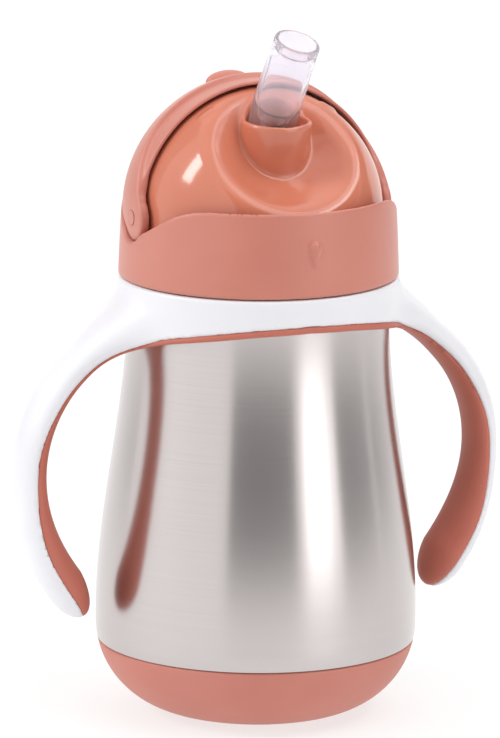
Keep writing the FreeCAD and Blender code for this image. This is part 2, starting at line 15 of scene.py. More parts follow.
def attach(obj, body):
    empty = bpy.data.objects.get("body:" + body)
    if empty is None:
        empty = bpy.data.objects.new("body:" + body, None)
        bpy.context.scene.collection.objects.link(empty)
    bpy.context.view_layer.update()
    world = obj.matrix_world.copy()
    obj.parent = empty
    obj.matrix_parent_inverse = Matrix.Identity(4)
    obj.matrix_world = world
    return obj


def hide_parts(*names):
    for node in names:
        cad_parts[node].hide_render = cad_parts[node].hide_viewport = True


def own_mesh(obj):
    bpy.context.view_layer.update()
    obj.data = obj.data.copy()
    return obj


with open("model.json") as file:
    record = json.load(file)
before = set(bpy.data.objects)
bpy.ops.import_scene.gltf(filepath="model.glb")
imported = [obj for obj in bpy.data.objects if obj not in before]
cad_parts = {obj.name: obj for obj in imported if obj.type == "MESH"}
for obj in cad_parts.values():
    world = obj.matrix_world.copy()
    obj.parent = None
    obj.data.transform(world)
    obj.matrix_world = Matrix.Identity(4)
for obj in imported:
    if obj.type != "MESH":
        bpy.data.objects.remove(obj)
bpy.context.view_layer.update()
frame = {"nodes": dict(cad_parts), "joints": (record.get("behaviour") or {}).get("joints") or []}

MM = 0.001
COARSE = 1.0
PIVOT_Z = frame["joints"][2]["pos_m"][2] / MM  # the third joint is visor_swing


# ---------------------------------------------------------------- fields
def smooth_min(a, b, radius):
    """Union of two fields with a fillet."""
    mix = np.clip(0.5 + 0.5 * (b - a) / radius, 0, 1)
    return b + (a - b) * mix - radius * mix * (1 - mix)


def smooth_max(a, b, radius):
    """Overlap of two fields with a rounded edge."""
    return -smooth_min(-a, -b, radius)


def soft_step(value):
    """Soft step from 0 to 1."""
    value = np.clip(value, 0, 1)
    return value * value * (3 - 2 * value)


def ball(x, y, z, centre, radius):
    return np.sqrt((x - centre[0]) ** 2 + (y - centre[1]) ** 2 + (z - centre[2]) ** 2) - radius


def capsule(x, y, z, start, end, radius):
    """Rod with round ends."""
    start = np.array(start, float)
    run = np.array(end, float) - start
    along = ((x - start[0]) * run[0] + (y - start[1]) * run[1] + (z - start[2]) * run[2]) / run.dot(run)
    along = np.clip(along, 0, 1)
    return ball(x - along * run[0], y - along * run[1], z - along * run[2], start, radius)


def bezier_points(poles, count=24):
    """Points on a Bezier curve in a plane."""
    poles = np.array(poles, float)
    degree = len(poles) - 1
    t = np.linspace(0, 1, count)[:, None]
    return sum(math.comb(degree, k) * t ** k * (1 - t) ** (degree - k) * poles[k]
               for k in range(degree + 1))


def spline_points(points, per_span=8):
    """Smooth line through points in a plane."""
    pts = np.array(points, float)
    pts = np.vstack([2 * pts[0] - pts[1], pts, 2 * pts[-1] - pts[-2]])
    t = np.linspace(0, 1, per_span, endpoint=False)[:, None]
    spans = []
    for p0, p1, p2, p3 in zip(pts, pts[1:], pts[2:], pts[3:]):
        spans.append(0.5 * (2 * p1 + (p2 - p0) * t + (2 * p0 - 5 * p1 + 4 * p2 - p3) * t ** 2
                            + (3 * p1 - p0 - 3 * p2 + p3) * t ** 3))
    return np.vstack(spans + [pts[-2:-1]])


def inside_distance(u, v, loop):
    """Signed distance to a closed outline in a plane, negative inside."""
    u, v = np.broadcast_arrays(u, v)
    best = np.full(u.shape, np.inf)
    inside = np.zeros(u.shape, bool)
    for (au, av), (bu, bv) in zip(loop, np.roll(loop, -1, axis=0)):
        du, dv = bu - au, bv - av
        length = du * du + dv * dv
        if length < 1e-12:
            continue
        t = np.clip(((u - au) * du + (v - av) * dv) / length, 0, 1)
        best = np.minimum(best, (u - au - t * du) ** 2 + (v - av - t * dv) ** 2)
        crosses = ((av > v) != (bv > v))
        if dv != 0:
            inside ^= crosses & (u < au + (v - av) * du / dv)
    return np.where(inside, -1.0, 1.0) * np.sqrt(best)


# ---------------------------------------------------------------- meshes from fields
CORNERS = list(itertools.product((0, 1), repeat=3))
EDGES = [(a, b) for a, b in itertools.combinations(range(8), 2)
         if sum(abs(p - q) for p, q in zip(CORNERS[a], CORNERS[b])) == 1]


def surface_net(values, low, step):
    """Quads round the zero level of a sampled field, with one point in each cell it crosses."""
    inside = values < 0
    size = [n - 1 for n in values.shape]
    window = [tuple(slice(c, c + n) for c, n in zip(corner, size)) for corner in CORNERS]
    count = sum(inside[w].astype(np.int8) for w in window)
    active = (count > 0) & (count < 8)
    cells = np.argwhere(active)
    index = np.full(active.shape, -1, np.int64)
    index[active] = np.arange(len(cells))
    at = np.stack([values[w][active] for w in window], axis=1)
    total = np.zeros((len(cells), 3))
    hits = np.zeros(len(cells))
    for a, b in EDGES:
        fa, fb = at[:, a], at[:, b]
        cross = (fa < 0) != (fb < 0)
        t = np.where(cross, fa / np.where(cross, fa - fb, 1), 0)[:, None]
        point = np.array(CORNERS[a]) * (1 - t) + np.array(CORNERS[b]) * t
        total += np.where(cross[:, None], point, 0)
        hits += cross
    points = np.array(low) + (cells + total / hits[:, None]) * step
    quads = []
    for axis in range(3):
        u, v = [(1, 2), (2, 0), (0, 1)][axis]
        near = [slice(None)] * 3
        far = [slice(None)] * 3
        near[axis] = slice(0, -1)
        far[axis] = slice(1, None)
        start, end = inside[tuple(near)], inside[tuple(far)]
        at = np.argwhere(start != end)
        at = at[(at[:, u] > 0) & (at[:, v] > 0) & (at[:, u] < values.shape[u] - 1)
                & (at[:, v] < values.shape[v] - 1)]
        outward = start[tuple(at.T)]
        ring = []
        for back_u, back_v in ((1, 1), (0, 1), (0, 0), (1, 0)):
            cell = at.copy()
            cell[:, u] -= back_u
            cell[:, v] -= back_v
            ring.append(index[tuple(cell.T)])
        ring = np.stack(ring, axis=1)
        ring[~outward] = ring[~outward][:, ::-1]
        quads.append(ring)
    return points, np.vstack(quads)


def field_mesh(name, field, low, high, step, passes=3):
    """Object whose surface is the zero level of a field(x, y, z), all in millimetres."""
    step *= COARSE
    counts = [int(math.ceil((b - a) / step)) + 1 for a, b in zip(low, high)]
    axes = [a + step * np.arange(n) for a, n in zip(low, counts)]
    y = axes[1][None, :, None]
    z = axes[2][None, None, :]
    slabs = [np.broadcast_to(field(axes[0][i:i + 16, None, None], y, z),
                             (len(axes[0][i:i + 16]), counts[1], counts[2]))
             for i in range(0, counts[0], 16)]
    points, quads = surface_net(np.concatenate(slabs), low, step)
    ends = np.vstack([quads[:, [k, (k + 1) % 4]] for k in range(4)])
    ends = np.unique(np.sort(ends, axis=1), axis=0)
    degree = np.bincount(ends.ravel(), minlength=len(points))[:, None]
    for turn in range(passes + 1):
        if turn:
            total = np.zeros_like(points)
            np.add.at(total, ends[:, 0], points[ends[:, 1]])
            np.add.at(total, ends[:, 1], points[ends[:, 0]])
            points = points + 0.6 * (total / degree - points)
        points = onto_surface(field, points, step)
    return new_mesh(name, points, quads.tolist())


def onto_surface(field, points, step, tries=3):
    """Moves points along the field's slope to its zero level, by less than a cell each time."""
    nudge = 0.02
    for _ in range(tries):
        x, y, z = points.T
        value = field(x, y, z)
        slope = np.stack([field(x + nudge, y, z) - field(x - nudge, y, z),
                          field(x, y + nudge, z) - field(x, y - nudge, z),
                          field(x, y, z + nudge) - field(x, y, z - nudge)], axis=1) / (2 * nudge)
        move = value[:, None] * slope / np.maximum((slope ** 2).sum(1), 0.05)[:, None]
        length = np.sqrt((move ** 2).sum(1))[:, None]
        points = points - move * np.minimum(1, 0.5 * step / np.maximum(length, 1e-9))
    return points


def placed(name, data):
    """New object for a mesh, light or camera, linked into the scene."""
    obj = bpy.data.objects.new(name, data)
    bpy.context.scene.collection.objects.link(obj)
    return obj


def new_mesh(name, points, faces):
    """Smooth-shaded object from points in millimetres and lists of point numbers."""
    mesh = bpy.data.meshes.new(name)
    mesh.from_pydata((np.asarray(points) * MM).tolist(), [], faces)
    mesh.validate()
    mesh.polygons.foreach_set("use_smooth", [True] * len(mesh.polygons))
    return placed(name, mesh)


# ---------------------------------------------------------------- turned and swept meshes
def turned(name, profile, segments=160):
    """Lathe a closed (r, z) outline; points on the axis are shared."""
    points = []
    rings = []
    for r, z in profile:
        if r < 1e-6:
            rings.append([len(points)] * segments)
            points.append((0, 0, z))
            continue
        rings.append(list(range(len(points), len(points) + segments)))
        for k in range(segments):
            turn = 2 * math.pi * k / segments
            points.append((r * math.cos(turn), r * math.sin(turn), z))
    faces = []
    for ring, after in zip(rings, rings[1:] + rings[:1]):
        for k in range(segments):
            loop = [ring[k], ring[(k + 1) % segments], after[(k + 1) % segments], after[k]]
            loop = [p for i, p in enumerate(loop) if p != loop[i - 1]]
            if len(loop) > 2:
                faces.append(loop)
    return new_mesh(name, points, faces)


# ---------------------------------------------------------------- materials
def material(name, **inputs):
    """New material; inputs are the shader's own constant sockets."""
    mat = bpy.data.materials.new(name)
    mat.use_nodes = True
    shader = mat.node_tree.nodes["Principled BSDF"]
    for key, value in inputs.items():
        shader.inputs[key.replace("_", " ")].default_value = value
    return mat, mat.node_tree, shader


def node(tree, kind, **settings):
    """New node; a setting is an input's value where there is such an input, else a property."""
    made = tree.nodes.new(kind)
    for key, value in settings.items():
        if key in made.inputs.keys():
            made.inputs[key].default_value = value
        else:
            setattr(made, key, value)
    return made


def base_ramp(tree, shader, value, low, high, start=0.0, end=1.0):
    """Base colour that goes from one colour to another as a value rises from start to end."""
    ramp = node(tree, "ShaderNodeValToRGB")
    ramp.color_ramp.elements[0].position = start
    ramp.color_ramp.elements[1].position = end
    ramp.color_ramp.elements[0].color = (*low, 1)
    ramp.color_ramp.elements[1].color = (*high, 1)
    tree.links.new(value, ramp.inputs["Fac"])
    tree.links.new(ramp.outputs["Color"], shader.inputs["Base Color"])


def varied(tree, shader, low, high, scale):
    """Base colour that drifts between two colours over the surface; returns the coordinates used."""
    place = node(tree, "ShaderNodeTexCoord")
    noise = node(tree, "ShaderNodeTexNoise", Scale=scale, Detail=3.0)
    tree.links.new(place.outputs["Object"], noise.inputs["Vector"])
    base_ramp(tree, shader, noise.outputs["Fac"], low, high, 0.35, 0.65)
    return place


def grain(tree, shader, place, scale, strength, distance):
    """Fine moulded texture as bump; returns its noise."""
    noise = node(tree, "ShaderNodeTexNoise", Scale=scale, Detail=2.0)
    bump = node(tree, "ShaderNodeBump", Strength=strength, Distance=distance)
    tree.links.new(place.outputs["Object"], noise.inputs["Vector"])
    tree.links.new(noise.outputs["Fac"], bump.inputs["Height"])
    tree.links.new(bump.outputs["Normal"], shader.inputs["Normal"])
    return noise


def roughness_range(tree, shader, noise, low, high):
    """Roughness that follows a noise between two values."""
    spread = node(tree, "ShaderNodeMapRange")
    spread.inputs["To Min"].default_value = low
    spread.inputs["To Max"].default_value = high
    tree.links.new(noise.outputs["Fac"], spread.inputs["Value"])
    tree.links.new(spread.outputs["Result"], shader.inputs["Roughness"])


def shade(red, green, blue):
    """Linear colour from an sRGB colour with values up to 255."""
    return tuple(((c / 255 + 0.055) / 1.055) ** 2.4 if c > 10 else c / 255 / 12.92
                 for c in (red, green, blue))


def plastic(name, low, high, rough, grain_scale, strength, **inputs):
    """Moulded plastic or rubber with drifting colour and a fine grain."""
    mat, tree, shader = material(name, **inputs)
    place = varied(tree, shader, shade(*low), shade(*high), 60.0)
    noise = grain(tree, shader, place, grain_scale, strength, 0.0002)
    roughness_range(tree, shader, noise, *rough)
    return mat


MATTE = plastic("terracotta_matte", (198, 117, 99), (202, 122, 104), (0.42, 0.52), 2600, 0.10,
                Specular_IOR_Level=0.75, Sheen_Weight=0.25, Sheen_Roughness=0.5)
GLOSS = plastic("terracotta_gloss", (204, 120, 95), (208, 125, 100), (0.10, 0.16), 900, 0.02,
                Coat_Weight=0.15, Coat_Roughness=0.05)
BOOT = plastic("boot_silicone", (197, 118, 102), (201, 123, 107), (0.48, 0.58), 3000, 0.12,
               Specular_IOR_Level=0.7)
GRIP = plastic("grip_rubber", (189, 104, 86), (194, 109, 91), (0.50, 0.62), 2800, 0.15)
WHITE = plastic("white_satin", (232, 231, 235), (236, 235, 239), (0.32, 0.42), 2200, 0.05)


def brushed_steel(name, base, streak_scale):
    """Steel brushed round the body: fine streaks follow the circumference."""
    mat, tree, shader = material(name, Metallic=1.0, Anisotropic=0.6, Anisotropic_Rotation=0.25)
    place = node(tree, "ShaderNodeTexCoord")
    stretch = node(tree, "ShaderNodeMapping")
    stretch.inputs["Scale"].default_value = (6, 6, streak_scale)
    fine = node(tree, "ShaderNodeTexNoise", Scale=1.0, Detail=4.0)
    bump = node(tree, "ShaderNodeBump", Strength=0.05, Distance=0.0001)
    tangent = node(tree, "ShaderNodeTangent", direction_type="RADIAL", axis="Z")
    tree.links.new(place.outputs["Object"], stretch.inputs["Vector"])
    tree.links.new(stretch.outputs["Vector"], fine.inputs["Vector"])
    base_ramp(tree, shader, fine.outputs["Fac"], [c * 0.945 for c in base], base, 0.3, 0.7)
    tree.links.new(fine.outputs["Fac"], bump.inputs["Height"])
    tree.links.new(bump.outputs["Normal"], shader.inputs["Normal"])
    tree.links.new(tangent.outputs["Tangent"], shader.inputs["Tangent"])
    roughness_range(tree, shader, fine, 0.21, 0.27)
    return mat


STEEL = brushed_steel("brushed_steel", (0.62, 0.572, 0.562), 5200)
INNER_STEEL = brushed_steel("inner_steel", (0.55, 0.55, 0.55), 1500)


SHADOW_OPACITY = 0.12      # how much of a shadow ray a clear piece stops
PAINTED_SLEEVE_REFLECTION = (0.91, 0.72, 0.71)  # painted reflection: low down, the straw's colour is painted with the terracotta sleeve's glow
SLEEVE_REFLECTION_TO, CLEAR_FROM = 0.143, 0.153  # heights in metres between which that painted reflection fades


def paint_sleeve_reflection(tree, shader, painted_reflection, tint):
    """Base colour with a painted reflection of the sleeve low down, fading softly with height; returns the
    coordinates used.
    """
    place = node(tree, "ShaderNodeTexCoord")
    split = node(tree, "ShaderNodeSeparateXYZ")
    level = node(tree, "ShaderNodeMapRange", interpolation_type="SMOOTHSTEP")
    level.inputs["From Min"].default_value = SLEEVE_REFLECTION_TO
    level.inputs["From Max"].default_value = CLEAR_FROM
    tree.links.new(place.outputs["Object"], split.inputs["Vector"])
    tree.links.new(split.outputs["Z"], level.inputs["Value"])
    base_ramp(tree, shader, level.outputs["Result"], painted_reflection, tint)
    return place


def clear(name, tint, rough, ior, painted_reflection=None):
    """Clear soft plastic with slightly uneven gloss, which lets most of the light through its shadow;
    given a tint for low down, its lower part carries a painted reflection of the sleeve.
    """
    mat, tree, shader = material(name, Transmission_Weight=0.85, IOR=ior)
    if painted_reflection:
        place = paint_sleeve_reflection(tree, shader, painted_reflection, tint)
    else:
        place = varied(tree, shader, tint, [min(1.0, c * 1.02) for c in tint], 400)
    noise = grain(tree, shader, place, 500, 0.04, 0.0002)
    roughness_range(tree, shader, noise, rough, rough + 0.05)
    rays = node(tree, "ShaderNodeLightPath")
    opacity = node(tree, "ShaderNodeMath", operation="MULTIPLY_ADD")
    opacity.inputs[1].default_value = SHADOW_OPACITY - 1
    opacity.inputs[2].default_value = 1.0
    tree.links.new(rays.outputs["Is Shadow Ray"], opacity.inputs[0])
    tree.links.new(opacity.outputs["Value"], shader.inputs["Alpha"])
    return mat


SEAL = clear("clear_seal", (0.92, 0.90, 0.92), 0.12, 1.3)
CLEAR = clear("clear_plastic", (0.93, 0.95, 0.96), 0.03, 1.4)
# the straw's foot carries a painted reflection of the terracotta sleeve
SILICONE = clear("clear_silicone", (0.94, 0.91, 0.96), 0.07, 1.2, PAINTED_SLEEVE_REFLECTION)
SOLDER = plastic("solder", (120, 120, 122), (135, 135, 138), (0.40, 0.60), 1500, 0.2, Metallic=1.0)


def dress(obj, mat):
    """Puts one material on every slot of an object."""
    if not obj.material_slots:
        obj.data.materials.append(mat)
    for slot in obj.material_slots:
        slot.material = mat


def finish_piece(piece, body, nodes, mat):
    """Rides a piece on its body, in place of CAD nodes."""
    dress(piece, mat)
    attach(piece, body)
    if nodes:
        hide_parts(*nodes)


# ---------------------------------------------------------------- handles
HANDLE_Z = 60.5           # height where a handle is furthest out
HANDLE_X = 57.6           # centre line there
UPPER_ARC = 34.5          # centre line above that height
LOWER_ARC = 45.0          # centre line below it
HALF_T, HALF_W = 3.6, 6.5  # half thickness away from the cup, and half width along Y
FLARE_T, FLARE_W = 2.4, 4.0  # added to them where a hook meets the ring
SWELL_T, SWELL_W = 1.2, 0.7  # and towards the tip
FLARE_START = 50          # degrees above the widest point where the flare begins
FLARE_SPAN = 26
ROOT_END = 78             # degrees above it where the hook ends inside the ring
ROOT_LENGTH = 6.0
TIP_DRIFT = 0.13          # the tip leaves its arc outwards by this much of its length
RING_TOP = 105.3
RING_R = 33.35
RING_BORE = 29.45
SKIRT_BORE = 31.5
SHOULDER_Z = 102.4
TIP_START = 36.4          # degrees below the widest point where the rounded tip begins
TIP_LENGTH = 9.0
TWIST = math.radians(8.0)  # the lower end turns its front edge outwards
# right half, in XZ: the line between white frame and soft grip, and the free space under the ring
PARTING = [(0, 98.7), (11.5, 98.1), (20.6, 96.8), (27.4, 95.0), (33.3, 92.3), (41.0, 88.4),
           (48.6, 82.0), (54.0, 74.2), (56.9, 67.0), (57.7, 60.0), (57.2, 51.5), (55.4, 43.3),
           (51.8, 36.0), (46.2, 27.8), (41.0, 21.0)]
SOFFIT = [(0, 96.7), (11.5, 96.1), (20.6, 94.8), (27.4, 93.3), (33.3, 91.1), (37.6, 88.9),
          (41.4, 85.9), (44.8, 81.5), (46.9, 76.4), (47.2, 70.0), (46.5, 60.0), (44.0, 48.0),
          (30.0, 40.0)]


def both_sides(right_half):
    """Closed XZ outline from the points of its right half."""
    right = spline_points(right_half)
    left = right[::-1] * (-1, 1)
    return np.vstack([left[:-1], right])


def parting_loop(drop):
    """Outline of everything inside the parting line, lowered by some millimetres."""
    return both_sides([(x, z - drop) for x, z in PARTING])


def hook(x, y, z):
    """Both open hooks: an oval section along two arcs, ending in a rounded tip."""
    side = np.abs(x)
    upper = z > HANDLE_Z
    arc_r = np.where(upper, UPPER_ARC, LOWER_ARC)
    centre = HANDLE_X - arc_r
    turn = np.degrees(np.arctan2(z - HANDLE_Z, side - centre))
    flare = soft_step((turn - FLARE_START) / FLARE_SPAN) * upper
    swell = soft_step(-turn / TIP_START) * ~upper
    half_t = HALF_T + FLARE_T * flare + SWELL_T * swell
    half_w = HALF_W + FLARE_W * flare + SWELL_W * swell
    beyond = np.maximum(0, -turn - TIP_START) * math.radians(1) * LOWER_ARC
    above = np.maximum(0, turn - ROOT_END) * math.radians(1) * UPPER_ARC
    past = np.maximum(beyond / TIP_LENGTH, above / ROOT_LENGTH)
    across = np.hypot(side - centre, z - HANDLE_Z) - arc_r - flare - TIP_DRIFT * beyond
    turned_by = TWIST * swell
    thick = across * np.cos(turned_by) + y * np.sin(turned_by)
    wide = y * np.cos(turned_by) - across * np.sin(turned_by)
    ratio = np.sqrt((thick / half_t) ** 2 + (wide / half_w) ** 2 + past ** 2)
    steep = np.sqrt((thick / half_t ** 2) ** 2 + (wide / half_w ** 2) ** 2 + (past / ROOT_LENGTH) ** 2)
    return ratio * (ratio - 1) / np.maximum(steep, 1e-3)


def handle_blank(x, y, z):
    """Ring blended into both hooks, before the split into hard and soft."""
    around = np.hypot(x, y)
    below = inside_distance(x, z, parting_loop(2.0))
    ring = smooth_max(around - RING_R, z - RING_TOP, 0.8)
    ring = smooth_max(ring, -below, 0.8)
    solid = smooth_min(ring, hook(x, y, z), 7.0)
    solid = smooth_max(solid, -inside_distance(x, z, both_sides(SOFFIT)), 1.2)
    solid = smooth_max(solid, z - RING_TOP, 0.8)
    bore = np.minimum(np.maximum(around - SKIRT_BORE, z - SHOULDER_Z), around - RING_BORE)
    return smooth_max(solid, -bore, 0.5)


def frame_field(x, y, z):
    """Hard white half: everything outside the parting line."""
    return smooth_max(handle_blank(x, y, z), -inside_distance(x, z, parting_loop(0)), 0.35)


def grip_field(x, y, z):
    """Soft half: everything inside the parting line."""
    return smooth_max(handle_blank(x, y, z), inside_distance(x, z, parting_loop(0)), 0.35)


def build_handles():
    low, high = (-63.5, -34.8, 23.0), (63.5, 34.8, 106.5)
    white = field_mesh("handle_frame_shell", frame_field, low, high, 0.6)
    finish_piece(white, "bottle", ["handle_frame"], WHITE)
    soft = field_mesh("handle_soft_grip", grip_field, low, high, 0.6)
    finish_piece(soft, "bottle", ["handle_grip"], GRIP)


# ---------------------------------------------------------------- lid
DOME_R = 29.3
DOME_WALL = 2.0
BOWL_CENTRE = (0, -31.5, 32.6)  # scooped bowl, from the pivot
BOWL_R = 27.7
SKIRT_Z = 114.8           # lower edge of the dome
MOUTH_RISE = 23.5         # level front edge of the sleeve's mouth, above the pivot
MOUTH_Y = -7.2            # behind this the edge climbs to the dome
SLEEVE_TILT = math.radians(19.0)
SLEEVE_FOOT_Y = -2.68     # where the sleeve's axis crosses the pivot's height
SLEEVE_R = 8.3
SLEEVE_BORE = 7.1
SEAT_LOW, SEAT_TOP = 8.0, 9.6  # the straw's seat, along the sleeve's axis
SEAT_BORE = 4.0
STOP_ENDS = (13.9, -4.5, 24.55), (16.2, -4.5, 23.2)  # small stop on the dome, from the pivot
STOP_R = 1.0
BOSS_R = 3.6
BOSS_IN = 25.8            # a boss starts this far from the middle
VISOR_R = 32.3
VISOR_BORE = 30.1
LIP_R = 31.0
LIP_REACH = 1.4           # the cover's lip goes this far beyond the pivot axis
TAB_AT = (20.2, 27.2)     # thumb tab, from the pivot
TAB_HALF, TAB_R = 5.7, 2.8
COLLAR_RISE = 4.8         # front and back edge of the collar, above the pivot
COLLAR_Z = 105.6
COLLAR_LOW_Z = 105.38     # its lower edge, a little under COLLAR_Z
COLLAR_HEIGHT = 19.8
COLLAR_R = 33.2
GROOVE_R = 31.4           # groove for the cover's lip
GROOVE_Z = 118.3
NOTCH_R = 5.7             # round notch in the collar at each pivot
NOTCH_X = 28.3            # it is open from here outwards
NOTCH_FLOOR = 2.3         # under the pivot
WEB_BORE = 25.2           # floor ring inside the collar
WEB_Z = 113.2
THREAD_ROOM = 29.8        # bore under the floor ring
GAP = 0.3
PIP_X = 1.0               # raised teardrop mark on the front of the collar
RAMP = [(-24.0, COLLAR_RISE), (-17.0, COLLAR_RISE), (-12.5, 0.1), (-4.7, -3.25)]
PIN_R = 1.7
PIN_FIT = 0.05            # running clearance round a pin
PIN_IN = 26.3             # its hole starts this far from the middle
THREAD_PITCH = 4.0


def from_sleeve(x, y, z):
    """Distance along the sleeve's axis and distance from it."""
    dy = y - SLEEVE_FOOT_Y
    dz = z - PIVOT_Z
    along = -dy * math.sin(SLEEVE_TILT) + dz * math.cos(SLEEVE_TILT)
    off = dy * math.cos(SLEEVE_TILT) + dz * math.sin(SLEEVE_TILT)
    return along, np.hypot(x, off)


def dome_field(x, y, z):
    """Dome with its scooped bowl, sleeve, stops, pin bosses and skirt."""
    up = z - PIVOT_Z
    around = np.hypot(x, y)
    radius = np.sqrt(around ** 2 + np.maximum(up, 0) ** 2)
    scoop = ball(x, y, up, BOWL_CENTRE, BOWL_R)
    outer = smooth_max(radius - DOME_R, -scoop, 4.2)
    inner = smooth_max(radius - DOME_R + DOME_WALL, -scoop + DOME_WALL, 3.2)
    along, off = from_sleeve(x, y, z)
    level = up - MOUTH_RISE - 0.06 * (y - MOUTH_Y)
    climb = 0.6 * (up - MOUTH_RISE) - 0.8 * (y - MOUTH_Y)
    mouth = np.maximum(smooth_min(level, climb, 1.6), radius - DOME_R)
    tube = smooth_max(off - SLEEVE_R + 0.02 * (along - 26), mouth, 0.9)
    tube = np.maximum(tube, SEAT_LOW - along)
    for side in (-1, 1):
        ends = [(side * end[0], *end[1:]) for end in STOP_ENDS]
        stop = capsule(x, y, up, *ends, STOP_R)
        outer = smooth_min(outer, stop, 0.8)
    solid = smooth_min(np.maximum(outer, -inner), tube, 1.0)
    bore = np.minimum(np.maximum(off - SLEEVE_BORE, SEAT_TOP - along), np.maximum(off - SEAT_BORE, -along))
    solid = smooth_max(solid, -bore, 0.7)
    across = np.hypot(y, up)
    boss = np.maximum(np.maximum(across - BOSS_R, BOSS_IN - np.abs(x)), radius - DOME_R + 0.5)
    solid = np.minimum(solid, boss)
    solid = np.maximum(solid, -np.maximum(across - PIN_R - PIN_FIT, PIN_IN - np.abs(x)))
    return np.maximum(solid, SKIRT_Z - z)


def ramp_loop(gap):
    """Side view (y, z) of the collar's upper edge, from the pivot, closed far above."""
    front = bezier_points([(y, z + gap) for y, z in RAMP])
    back = front[::-1] * (-1, 1)
    return np.vstack([[(-60, COLLAR_RISE + gap)], front, back,
                      [(60, COLLAR_RISE + gap), (60, 60), (-60, 60)]])


def visor_loop():
    """Side view (y, z) of the open cover, from the pivot."""
    back = bezier_points([(-y, z + GAP) for y, z in RAMP[::-1]])
    front = back[::-1, ::-1]
    return np.vstack([back, [(60, COLLAR_RISE + GAP), (60, 60), (COLLAR_RISE + GAP, 60)], front])


def thread_ridge(x, y, z, start_z, end_z, root_r, crest_r, root_h, crest_h):
    """Trapezium ridge winding up like a right-hand screw."""
    lead = start_z + THREAD_PITCH * (np.arctan2(y, x) % (2 * math.pi)) / (2 * math.pi)
    offset = (z - lead + THREAD_PITCH / 2) % THREAD_PITCH - THREAD_PITCH / 2
    middle = z - offset
    depth = (np.hypot(x, y) - root_r) / (crest_r - root_r)
    half = (root_h + (crest_h - root_h) * depth) / 2
    height = abs(crest_r - root_r)
    ridge = np.maximum(np.abs(offset) - half, np.maximum(depth - 1, -depth) * height)
    return np.maximum(ridge, np.maximum(start_z - middle, middle - end_z) * 0.5)


def collar_field(x, y, z):
    """Screw collar: wall, floor ring, groove, ramps, pivot notches, thread and front mark."""
    around = np.hypot(x, y)
    up = z - PIVOT_Z
    rise = (z - COLLAR_Z) / COLLAR_HEIGHT
    outer_r = COLLAR_R - 0.62 * rise - 0.33 * rise ** 2
    wall = smooth_max(around - outer_r, COLLAR_LOW_Z - z, 0.6)
    mark = smooth_min(ball(x, y, z, (PIP_X, -32.4, 117.3), 1.5),
                      capsule(x, y, z, (PIP_X, -32.6, 116.2), (PIP_X, -32.75, 113.4), 0.75), 1.6)
    wall = smooth_min(wall, np.maximum(mark, 31.9 - around), 0.5)
    ramp = inside_distance(y, up, ramp_loop(0))
    disc = np.hypot(y, up) - NOTCH_R
    above = np.maximum(ramp, -NOTCH_FLOOR - up)
    cut = smooth_min(above, np.maximum(smooth_min(ramp, disc, 1.0), NOTCH_X - np.abs(x)), 0.3)
    solid = smooth_max(wall, -cut, 0.7)
    groove = np.maximum(around - GROOVE_R, GROOVE_Z - z)
    dome_seat = np.maximum(around - DOME_R, SKIRT_Z - z)
    below_web = np.maximum(around - THREAD_ROOM, z - WEB_Z)
    hollow = np.minimum(np.minimum(groove, dome_seat), np.minimum(around - WEB_BORE, below_web))
    solid = smooth_max(solid, -hollow, 0.5)
    ridge = thread_ridge(x, y, z, 106.9, 110.9, 30.0, 28.45, 2.0, 0.9)
    return np.minimum(solid, ridge)


def visor_field(x, y, z):
    """Swinging cover: part of a hollow ball, a thin lip on both edges, round arms and a tab."""
    up = z - PIVOT_Z
    radius = np.sqrt(x ** 2 + y ** 2 + up ** 2)
    region = smooth_min(inside_distance(y, up, visor_loop()), np.hypot(y, up) - NOTCH_R + GAP, 1.5)
    thick = smooth_max(np.maximum(VISOR_BORE - radius, radius - VISOR_R), region, 0.8)
    edge = smooth_max(-LIP_REACH - y, -LIP_REACH - up, 1.0)
    lip = smooth_max(np.maximum(VISOR_BORE - radius, radius - LIP_R), edge, 0.6)
    solid = smooth_min(thick, lip, 1.3)
    tab_y, tab_up = TAB_AT
    tab = ball(x / TAB_HALF, (y - tab_y) / TAB_R, (up - tab_up) / TAB_R, (0, 0, 0), 1.0) * TAB_R
    solid = smooth_min(solid, np.maximum(tab, VISOR_BORE + 0.8 - radius), 1.6)
    return np.maximum(solid, PIN_R - np.hypot(y, up))


def build_lid():
    dome = field_mesh("dome_with_sleeve", dome_field, (-30.2, -31.4, 114.0), (30.2, 30.2, 152.0), 0.5)
    finish_piece(dome, "lid", ["lid_dome"], GLOSS)
    collar = field_mesh("screw_collar", collar_field, (-34.5, -35.5, 104.8), (34.5, 34.5, 126.6), 0.5)
    finish_piece(collar, "lid", ["lid_collar"], MATTE)
    visor = field_mesh("swing_cover", visor_field, (-33.4, -6.6, 114.4), (33.4, 33.4, 154.0), 0.45)
    finish_piece(visor, "cover", ["visor_cover"], MATTE)


# ---------------------------------------------------------------- steel body and boot
BELLY_R, BELLY_Z = 38.2, 24.0  # widest radius, and where the taper starts
WAIST_R, WAIST_Z = 30.95, 98.0  # radius at the end of the taper
WALL = 0.6
NECK_R = 28.0
FOOT_ROUND = 21.3         # outer round at the foot
FOOT_CENTRE = 16.9        # distance of its centre from the axis
BOOT_FLOOR = 2.0
BOOT_TOP = 17.1
STEEL_ROUND = 19.3        # round of the steel inside the boot
PLATE_R = 14.2            # opening for the base plate
AROUND = 192              # segments round the body


def foot_points(radius, low, high, count=24):
    """(r, z) points on the foot's round between two heights."""
    return [(FOOT_CENTRE + math.sqrt(max(0.0, radius ** 2 - (FOOT_ROUND - z) ** 2)), z)
            for z in np.linspace(low, high, count)]


def taper_points(foot_r, waist_r, count=60):
    """(r, z) points of the body's S-shaped taper."""
    third = (WAIST_Z - BELLY_Z) / 3
    return [tuple(p) for p in bezier_points([(foot_r, BELLY_Z), (foot_r, BELLY_Z + third),
                                             (waist_r, WAIST_Z - third), (waist_r, WAIST_Z)], count)]


